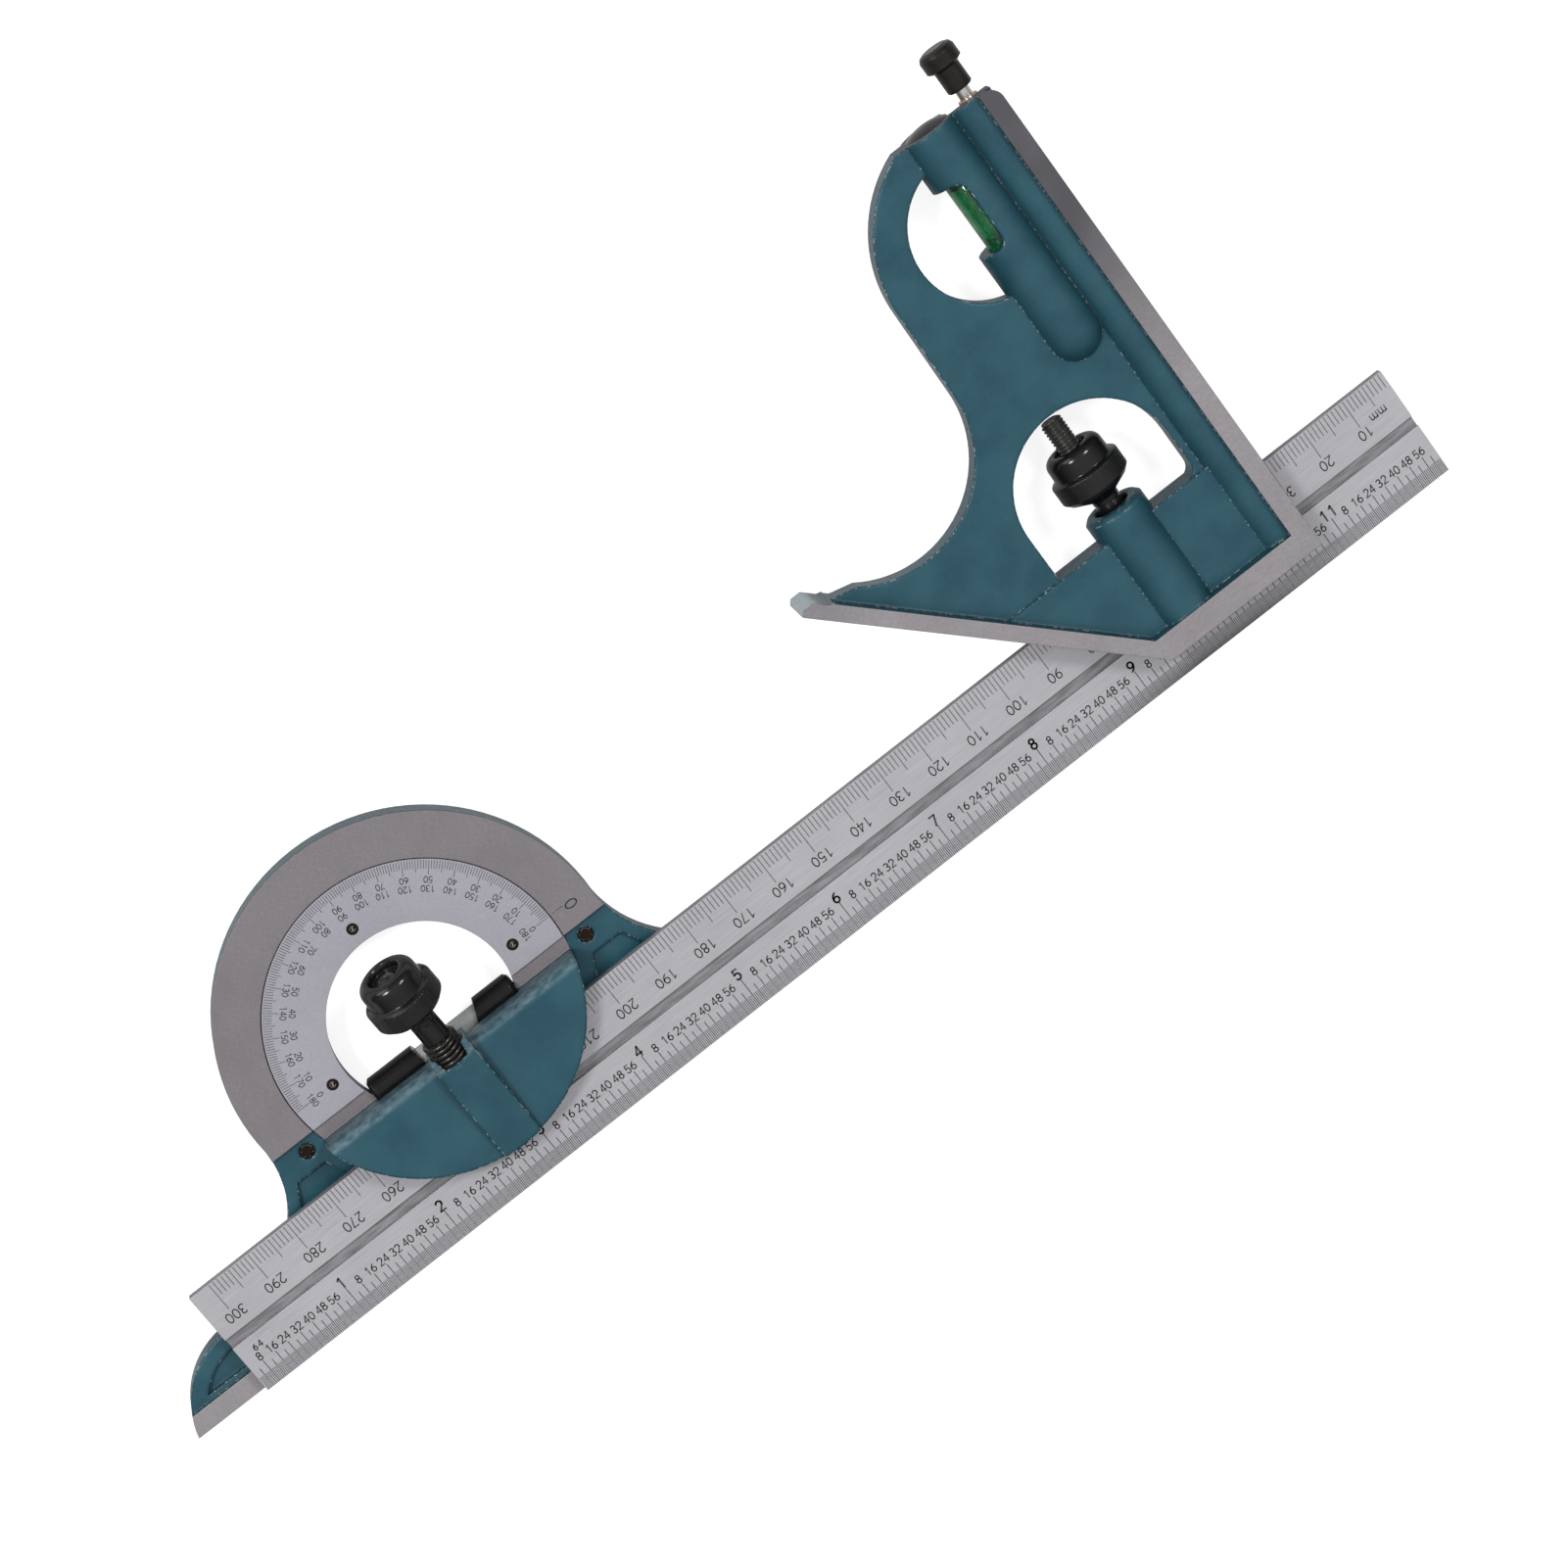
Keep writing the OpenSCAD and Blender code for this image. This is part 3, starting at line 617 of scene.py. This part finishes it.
def lathe(rings, turns, ring_at=None):
    """Points and faces of a turned form; rings of (radius, height) close along the profile."""
    count = len(rings)
    points = []
    for i in range(turns):
        angle = 2 * math.pi * i / turns
        for k in range(count):
            radius, height = ring_at(k, angle) if ring_at else rings[k]
            points.append(polar(radius, angle, height))
    faces = []
    for i in range(turns):
        here, there = i * count, ((i + 1) % turns) * count
        for k in range(count):
            n = (k + 1) % count
            faces.append((here + k, here + n, there + n, there + k))
    return points, faces


def tube(center_at, count, radius, sides):
    """Points and faces of a round wire along a path of points."""
    path = [center_at(i / count) for i in range(count + 1)]
    side = (path[1] - path[0]).orthogonal()
    points, faces = [], []
    for i, here in enumerate(path):
        forward = (path[min(i + 1, count)] - path[max(i - 1, 0)]).normalized()
        side = (side - forward * side.dot(forward)).normalized()
        up = forward.cross(side)
        for j in range(sides):
            angle = 2 * math.pi * j / sides
            points.append(here + (side * math.cos(angle) + up * math.sin(angle)) * radius)
    for i in range(count):
        for j in range(sides):
            a, b = i * sides + j, i * sides + (j + 1) % sides
            faces.append((a, b, b + sides, a + sides))
    faces.append(tuple(range(sides)))
    faces.append(tuple(range(count * sides + sides - 1, count * sides - 1, -1)))
    return points, faces


# Clamp springs, wound from round wire, with closed end coils
spring_mean = 3.4
spring_gap = 0.05
wire_radius = 0.45
wire_sides = 12
steps_per_turn = 40
closed_share = 0.08


def clamp_spring(name, clamp, low, high, turns, body):
    """A spring between two places along a clamp bolt."""
    start = low + spring_gap + wire_radius
    rise = high - spring_gap - wire_radius - start

    def path(share):
        angle = 2 * math.pi * turns * share
        climb = min(1.0, max(0.0, share * (1 + 2 * closed_share) - closed_share))
        return polar(spring_mean, angle, start + rise * climb)

    points, faces = tube(path, turns * steps_per_turn, wire_radius, wire_sides)
    points = [clamp @ point for point in points]
    made = piece(name + "_wire", points, faces, spring_wire, body, 60)
    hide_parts(name)


clamp_spring("square_clamp_spring", square_clamp, square_seat, square_nut_place, 4, "square_head")
clamp_spring("turret_clamp_spring", turret_clamp, turret_seat, turret_nut_place, 5, "turret")


# Clamp nuts: a grooved neck, a flare, a knurled rim and a dome with a cup in its end
nut_radius = 7.8
nut_length = 18.7
nut_bore = 2.45
neck_radius = 2.95
neck_groove = 5.05
flare_start = 6.1
flare_end = 8.4
rim_low = 9.45
rim_high = 13.2
dome_radius = 6.4
lip_radius = 4.4
cup_depth = 1.6
dome_steps = 10
knurl_teeth = 84
knurl_depth = 0.08


def nut_profile():
    """Rings of (radius, height) from the bore outwards and back over the dome."""
    neck = [
        (nut_bore, 0.0), (neck_radius - 0.2, 0.0), (neck_radius, 0.2),
        (neck_radius, neck_groove - 0.35), (neck_radius - 0.3, neck_groove - 0.2),
        (neck_radius - 0.3, neck_groove + 0.2), (neck_radius, neck_groove + 0.35)]
    flare = [
        (neck_radius, flare_start), (neck_radius + 0.2, flare_start + 0.35),
        (nut_radius - 1.0, flare_end), (nut_radius - 0.75, flare_end + 0.3)]
    rim = [
        (nut_radius - 0.15, rim_low - 0.15), (nut_radius, rim_low),
        (nut_radius, rim_high), (nut_radius - 0.15, rim_high + 0.2)]
    shoulder = [
        (nut_radius - 0.5, rim_high + 0.45), (dome_radius + 0.35, rim_high + 0.55),
        (dome_radius + 0.1, rim_high + 0.75)]
    dome_round = dome_radius - lip_radius
    dome = [
        (lip_radius + dome_round * math.cos(angle), nut_length - dome_round + dome_round * math.sin(angle))
        for angle in (math.pi / 2 * i / dome_steps for i in range(dome_steps + 1))]
    cup = [
        (lip_radius - 0.6, nut_length - 0.05), (lip_radius - 0.8, nut_length - 0.35),
        (lip_radius - 0.95, nut_length - cup_depth), (nut_bore, nut_length - cup_depth)]
    return neck + flare + rim + shoulder + dome + cup


def clamp_nut(name, clamp, place, body):
    """A nut whose inner end is at a place along a clamp bolt."""
    rings = nut_profile()

    def ring_at(k, angle):
        radius, height = rings[k]
        knurled = radius >= nut_radius - 0.15
        ridge = abs(2 * ((angle * knurl_teeth / (2 * math.pi)) % 1.0) - 1)
        return radius - knurled * knurl_depth * ridge, height + place

    points, faces = lathe(rings, knurl_teeth * 4, ring_at)
    points = [clamp @ point for point in points]
    made = piece(name + "_knurled", points, faces, nut_black, body, 30)
    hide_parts(name)


clamp_nut("square_clamp_nut", square_clamp, square_nut_place, "square_nut")
clamp_nut("turret_clamp_nut", turret_clamp, turret_nut_place, "turret_nut")


# Clamp bolts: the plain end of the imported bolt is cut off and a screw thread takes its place
thread_radius = 2.4
thread_pitch = 0.8
thread_depth = 0.42
thread_slope = 2.6
thread_sides = 36
thread_angles = [2 * math.pi * j / thread_sides for j in range(thread_sides)]
rows_per_mm = 10
run_out = 0.5
run_out_depth = 0.35
peened_shares = (0.72, 0.45, 0.2)
square_bolt_end = 46.8
turret_bolt_end = 43.8


def thread_row(height, end):
    """Points round the helical thread at one height; the thread tapers at its end."""
    row = []
    for angle in thread_angles:
        phase = (height / thread_pitch - angle / (2 * math.pi)) % 1.0
        cut_in = thread_depth * (1 - min(1.0, thread_slope * abs(phase - 0.5)))
        taper = run_out_depth * (1 - min(1.0, (end - height) / run_out))
        row.append(polar(thread_radius - cut_in - taper, angle, height))
    return row


def peened_row(share, end, peening):
    """Points round the end face, which hammer marks make uneven."""
    row = []
    for angle in thread_angles:
        sink = peening * (0.5 + 0.5 * math.sin(5 * angle + 9 * share) * math.cos(3 * angle - 4 * share))
        row.append(polar(thread_radius * share, angle, end - sink))
    return row


def threaded_bolt(name, clamp, start, end, body, peening):
    """The hooked end of a packed bolt, with a thread from start to end along its clamp."""
    build = bmesh.new()
    build.from_mesh(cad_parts[name].data)
    away = (clamp.to_3x3() @ Vector((0, 0, 1))).normalized()
    cut = clamp @ Vector((0, 0, start))
    everything = build.verts[:] + build.edges[:] + build.faces[:]
    bmesh.ops.bisect_plane(build, geom=everything, plane_co=cut, plane_no=away, clear_outer=True)
    count = int((end - start) * rows_per_mm)
    rings = [thread_row(start + (end - start) * i / count, end) for i in range(count + 1)]
    rings += [peened_row(share, end, peening) for share in peened_shares]
    rows = [[build.verts.new(clamp @ point) for point in ring] for ring in rings]
    for low, high in zip(rows, rows[1:]):
        for j in range(thread_sides):
            n = (j + 1) % thread_sides
            build.faces.new((low[j], low[n], high[n], high[j]))
    build.faces.new(rows[-1])
    build.faces.new(rows[0][::-1])
    data = bpy.data.meshes.new(name + "_threaded")
    build.to_mesh(data)
    build.free()
    data.materials.append(bolt_black)
    for polygon in data.polygons:
        polygon.material_index = 0
    smooth(data, 50)
    made = add_piece(name + "_threaded", data, body)
    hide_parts(name)


threaded_bolt("square_clamp_bolt", square_clamp, square_seat - 0.2, square_bolt_end, "square_bolt", 0.15)
threaded_bolt("turret_clamp_bolt", turret_clamp, turret_seat - 0.3, turret_bolt_end, "turret_bolt", 0.9)


# Green spirit and index rings inside the glass of the square head's level
glass_wall = 0.95
spirit_end = 0.5
spirit_bevel = 0.3
ring_proud = 0.06
ring_sunk = 0.1
ring_width = 0.4
ring_shares = {"level_ring_low": 0.26, "level_ring_high": 0.74}
lathe_turns = 48


def level_filling():
    """The spirit and two dark rings on it, turned round the glass of the level."""
    low, high = (Vector(corner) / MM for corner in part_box("square_vial"))
    middle = (low + high) / 2
    turned = clamp_frame(Vector((middle.x, low.y, middle.z)) * MM, 0)
    radius = (high.x - low.x) / 2 - glass_wall
    length = high.y - low.y
    half = [(0.01, spirit_end), (radius - spirit_bevel, spirit_end), (radius, spirit_end + spirit_bevel)]
    rings = half + [(r, length - height) for r, height in half[::-1]]
    points, faces = lathe(rings, lathe_turns)
    points = [turned @ point for point in points]
    piece("level_spirit", points, faces, green, "square_head", 60)
    for name, share in ring_shares.items():
        start = length * share
        inner, outer = radius - ring_sunk, radius + ring_proud
        rings = [(inner, start), (outer, start), (outer, start + ring_width), (inner, start + ring_width)]
        points, faces = lathe(rings, lathe_turns)
        points = [turned @ point for point in points]
        piece(name, points, faces, mark_ink, "square_head", 60)


level_filling()


# Figures drawn as strokes in a box one unit high
def arc(x, y, rx, ry, start, stop, steps=10):
    """Points along a part of an ellipse, from one angle to another."""
    angles = [math.radians(start + (stop - start) * i / steps) for i in range(steps + 1)]
    return [(x + rx * math.cos(a), y + ry * math.sin(a)) for a in angles]


figures = {
    "0": [arc(0.3, 0.5, 0.28, 0.48, 0, 360, 18)],
    "1": [[(0.12, 0.8), (0.34, 1.0), (0.34, 0.0)]],
    "2": [arc(0.3, 0.72, 0.26, 0.27, 165, -35) + [(0.03, 0.0), (0.58, 0.0)]],
    "3": [arc(0.29, 0.75, 0.24, 0.23, 150, -90) + arc(0.29, 0.27, 0.27, 0.26, 80, -150)],
    "4": [[(0.44, 0.0), (0.44, 1.0), (0.02, 0.3), (0.6, 0.3)]],
    "5": [[(0.53, 0.98), (0.12, 0.98), (0.08, 0.54)] + arc(0.28, 0.31, 0.27, 0.31, 125, -150)],
    "6": [arc(0.3, 0.29, 0.26, 0.28, 0, 360, 14), arc(0.72, 0.30, 0.68, 0.68, 180, 112, 6)],
    "7": [[(0.03, 0.98), (0.57, 0.98), (0.22, 0.0)]],
    "8": [arc(0.3, 0.75, 0.22, 0.23, 0, 360, 14), arc(0.3, 0.26, 0.26, 0.26, 0, 360, 14)],
    "9": [arc(0.3, 0.71, 0.26, 0.28, 0, 360, 14), arc(-0.12, 0.70, 0.68, 0.68, 0, -68, 6)],
    "m": [
        [(0.0, 0.0), (0.0, 0.7)],
        arc(0.22, 0.45, 0.22, 0.24, 180, 0, 6) + [(0.44, 0.0)],
        arc(0.66, 0.45, 0.22, 0.24, 180, 0, 6) + [(0.88, 0.0)],
    ],
}
figure_width = {letter: 0.88 if letter == "m" else 0.6 for letter in figures}
pitch_factor = {letter: 1.15 if letter == "m" else 1.0 for letter in figures}
stroke_cap = 0.3


class Marks:
    """Thin flat strokes lying on a face, gathered in one mesh."""

    def __init__(self, height):
        self.height = height
        self.points = []
        self.faces = []

    def line(self, a, b, width):
        ax, ay = a
        bx, by = b
        run = math.hypot(bx - ax, by - ay) or 1.0
        dx, dy = (bx - ax) / run, (by - ay) / run
        ox, oy = -dy * width / 2, dx * width / 2
        ex, ey = dx * width * stroke_cap, dy * width * stroke_cap
        start, stop = (ax - ex, ay - ey), (bx + ex, by + ey)
        first = len(self.points)
        for (x, y), side in ((start, 1), (stop, 1), (stop, -1), (start, -1)):
            self.points.append(at(x + side * ox, y + side * oy, self.height))
        self.faces.append((first + 3, first + 2, first + 1, first))

    def path(self, spots, width):
        for a, b in zip(spots, spots[1:]):
            self.line(a, b, width)

    def words(self, text, x, y, turn, style):
        """Figures centred on a point, read in the direction of turn; style is height, pitch and width."""
        height, pitch, width = style
        along = Vector((math.cos(math.radians(turn)), math.sin(math.radians(turn))))
        up = Vector((-along.y, along.x))
        start = -sum(pitch * pitch_factor[letter] for letter in text) / 2
        for letter in text:
            room = pitch * pitch_factor[letter]
            shift = start + (room - figure_width[letter] * height) / 2
            origin = Vector((x, y)) + along * shift - up * (height / 2)
            for stroke in figures[letter]:
                self.path([origin + (along * u + up * v) * height for u, v in stroke], width)
            start += room

    def ring(self, x, y, radius, width, start=0, stop=360):
        self.path(arc(x, y, radius, radius, start, stop, 16), width)

    def finish(self, name, body, slot, material):
        return piece(name, self.points, self.faces, material, body, 0)


def mark_length(number, lengths):
    """Length of a graduation: that of the longest step which divides its number."""
    return next(length for step, length in lengths if number % step == 0)


# Graduations of the rule: millimetres along the upper edge, 64ths of an inch along the lower
mark_lift = 0.012
millimetre_lengths = ((10, 6.6), (5, 4.9), (1, 3.3))
inch_lengths = ((64, 7.2), (8, 5.6), (4, 4.7), (1, 3.1))
millimetre_style = (2.15, 1.65, 0.26)
unit_style = (1.75, 1.85, 0.24)
inch_style = (2.3, 2.05, 0.42)
part_style = (1.75, 1.32, 0.25)
parts_style = (1.4, 1.3, 0.24)
millimetre_row = 8.4
unit_row = 6.8
inch_row = 8.45
part_row = 6.85
parts_row = 8.95


def millimetre_marks(rule):
    """Lines and figures along the upper edge, counted from the zero end."""
    for millimetre in range(1, 301):
        x = zero_end - millimetre
        length = mark_length(millimetre, millimetre_lengths)
        rule.line((x, upper_edge - 0.15), (x, upper_edge - length), 0.16)
        if millimetre % 10 == 0:
            text = str(millimetre)
            shift = 0.25 * (len(text) - 1)
            rule.words(text, x + shift, upper_edge - millimetre_row, 180, millimetre_style)
    rule.words("mm", zero_end - 5.3, upper_edge - unit_row, 180, unit_style)


def inch_marks(rule):
    """Lines and figures along the lower edge, counted from the other end."""
    for part in range(1, 12 * 64):
        x = -blade_left + part * INCH / 64
        length = mark_length(part, inch_lengths)
        rule.line((x, lower_edge + 0.1), (x, lower_edge + length), 0.15 if part % 4 else 0.19)
        if part % 64 == 0:
            rule.words(str(part // 64), x, lower_edge + inch_row, 0, inch_style)
        elif part % 8 == 0:
            rule.words(str(part % 64), x, lower_edge + part_row, 0, part_style)
    rule.words("64", -blade_left + 4.4, lower_edge + parts_row, 0, parts_style)


rule_marks = Marks(blade_front + mark_lift)
millimetre_marks(rule_marks)
inch_marks(rule_marks)
rule_marks.finish("rule_graduations", "blade", "rule_steel", mark_ink)

# Graduations of the dial: two rows of degrees, counted in opposite directions
degree_lengths = ((10, 3.2), (5, 2.6), (1, 1.9))
degree_style = (1.3, 0.98, 0.17)
outer_row = 27.95
inner_row = 26.1


def dial_marks():
    """Lines and figures round the half ring of the dial."""
    dial = Marks(body_thickness + mark_lift)
    for degree in range(0, 181):
        angle = math.radians(degree)
        out = Vector((math.cos(angle), math.sin(angle)))
        length = mark_length(degree, degree_lengths)
        dial.line(out * (turret_radius - 0.45), out * (turret_radius - 0.25 - length), 0.13)
        if degree % 10 == 0:
            for radius, value in ((outer_row, degree), (inner_row, 180 - degree)):
                spot = out * radius
                dial.words(str(value), spot.x, spot.y, degree + 90, degree_style)
    dial.finish("dial_graduations", "turret", "dial_steel", mark_ink)


dial_marks()

# Zero line of the ring
zero_style = (2.7, 2.0, 0.3)
zero_line = Marks(body_thickness + mark_lift)
zero_line.line((turret_radius + 0.6, 0), (turret_radius + 3.1, 0), 0.16)
zero_line.words("0", turret_radius + 4.8, -0.7, 90, zero_style)
zero_line.finish("ring_zero_line", "protractor", "head_enamel", mark_ink)


# Driver marks of the dial screws, and black rims with painted highlights on the lock screws
drive_depth = 0.088
drive_radius = 0.55
lock_rim_depth = 0.193
lock_rim_radius = 1.47
# Painted highlights on the lock screws' ends
lock_glint_depth = 0.188
lock_glint_radius = 1.25
lock_glint_angles = ((15, 105), (150, 215), (262, 318))


def dial_screw_marks():
    """An open ring and a short slanted stroke in the head of each dial screw."""
    drives = Marks(body_thickness - drive_depth)
    for angle in (0, 90, 180):
        x = dial_screw_circle * math.cos(math.radians(angle))
        y = dial_screw_circle * math.sin(math.radians(angle))
        drives.ring(x, y, drive_radius, 0.16, 40, 320)
        drives.line((x - 0.1, y - 0.35), (x + 0.1, y + 0.35), 0.22)
    drives.finish("dial_screw_drives", "turret", "blackened_steel", screw_bright)


def lock_screw_marks(side, name):
    """A black rim round a lock screw's end, with painted highlights in arcs inside it."""
    rim = Marks(ear_height - lock_rim_depth)
    rim.ring(side * lock_x, lock_y, lock_rim_radius, 0.3)
    rim.finish("lock_rim_" + name, name + "_lock", "blackened_steel", black)
    # Painted highlights: bright arcs inside the rim
    glints = Marks(ear_height - lock_glint_depth)
    for start, stop in lock_glint_angles:
        glints.ring(side * lock_x, lock_y, lock_glint_radius, 0.14, start, stop)
    glints.finish("lock_painted_glints_" + name, name + "_lock", "blackened_steel", screw_bright)


dial_screw_marks()
lock_screw_marks(-1, "left")
lock_screw_marks(1, "right")


# Stage, light and backdrop
floor_half = 3.0
floor_gap = 0.0002
paper_grey = (0.42, 0.42, 0.42, 1.0)
paper_glow = 0.82
glossy_share = 0.28
white = (1, 1, 1, 1)
sky_low = 0.14
sky_high = 0.74


def floor_paper():
    """White where it is seen, grey for the light that it gives back, so that it keeps the shadow."""
    material = bpy.data.materials.new("floor_paper")
    t = Tree(material)
    rays = t.add("ShaderNodeLightPath").outputs
    mirrored = t.both(rays["Is Glossy Ray"], glossy_share)
    seen = t.either(rays["Is Camera Ray"], rays["Is Transmission Ray"], mirrored)
    matte = t.add("ShaderNodeBsdfDiffuse")
    matte.inputs["Color"].default_value = paper_grey
    glow = t.add("ShaderNodeEmission")
    glow.inputs["Color"].default_value = white
    t.link(t.both(seen, paper_glow), glow.inputs["Strength"])
    total = t.add("ShaderNodeAddShader")
    t.link(matte.outputs[0], total.inputs[0])
    t.link(glow.outputs[0], total.inputs[1])
    output = t.add("ShaderNodeOutputMaterial")
    t.link(total.outputs[0], output.inputs["Surface"])
    return material


def floor():
    """The paper under the object."""
    data = bpy.data.meshes.new("floor")
    height = cad_box[0][2] - floor_gap
    corners = ((-1, -1), (1, -1), (1, 1), (-1, 1))
    data.from_pydata([(floor_half * x, floor_half * y, height) for x, y in corners], [], [(0, 1, 2, 3)])
    data.materials.append(floor_paper())
    made = bpy.data.objects.new("floor", data)
    bpy.context.scene.collection.objects.link(made)


def sky():
    """A white dome, brighter overhead."""
    world = bpy.data.worlds.new("studio")
    bpy.context.scene.world = world
    t = Tree(world)
    height = t.split(t.add("ShaderNodeTexCoord").outputs["Generated"])[2]
    back = t.add("ShaderNodeBackground")
    back.inputs["Color"].default_value = white
    t.link(t.ramp(height, 0.15, 0.95, sky_low, sky_high), back.inputs["Strength"])
    output = t.add("ShaderNodeOutputWorld")
    t.link(back.outputs[0], output.inputs["Surface"])


def lamp(name, place, size, power):
    """A round lamp aimed at the origin."""
    data = bpy.data.lights.new(name, "AREA")
    data.shape = "DISK"
    data.size = size
    data.energy = power
    made = bpy.data.objects.new(name, data)
    made.location = place
    made.rotation_euler = (-Vector(place)).to_track_quat("-Z", "Y").to_euler()
    bpy.context.scene.collection.objects.link(made)


floor()
sky()
lamp("key", (-0.9, 0.9, 1.5), size=0.50, power=20.0)
lamp("fill", (1.0, 0.5, 1.4), size=0.45, power=11.0)
lamp("rim", (-0.9, 1.5, 0.6), size=1.00, power=6.0)
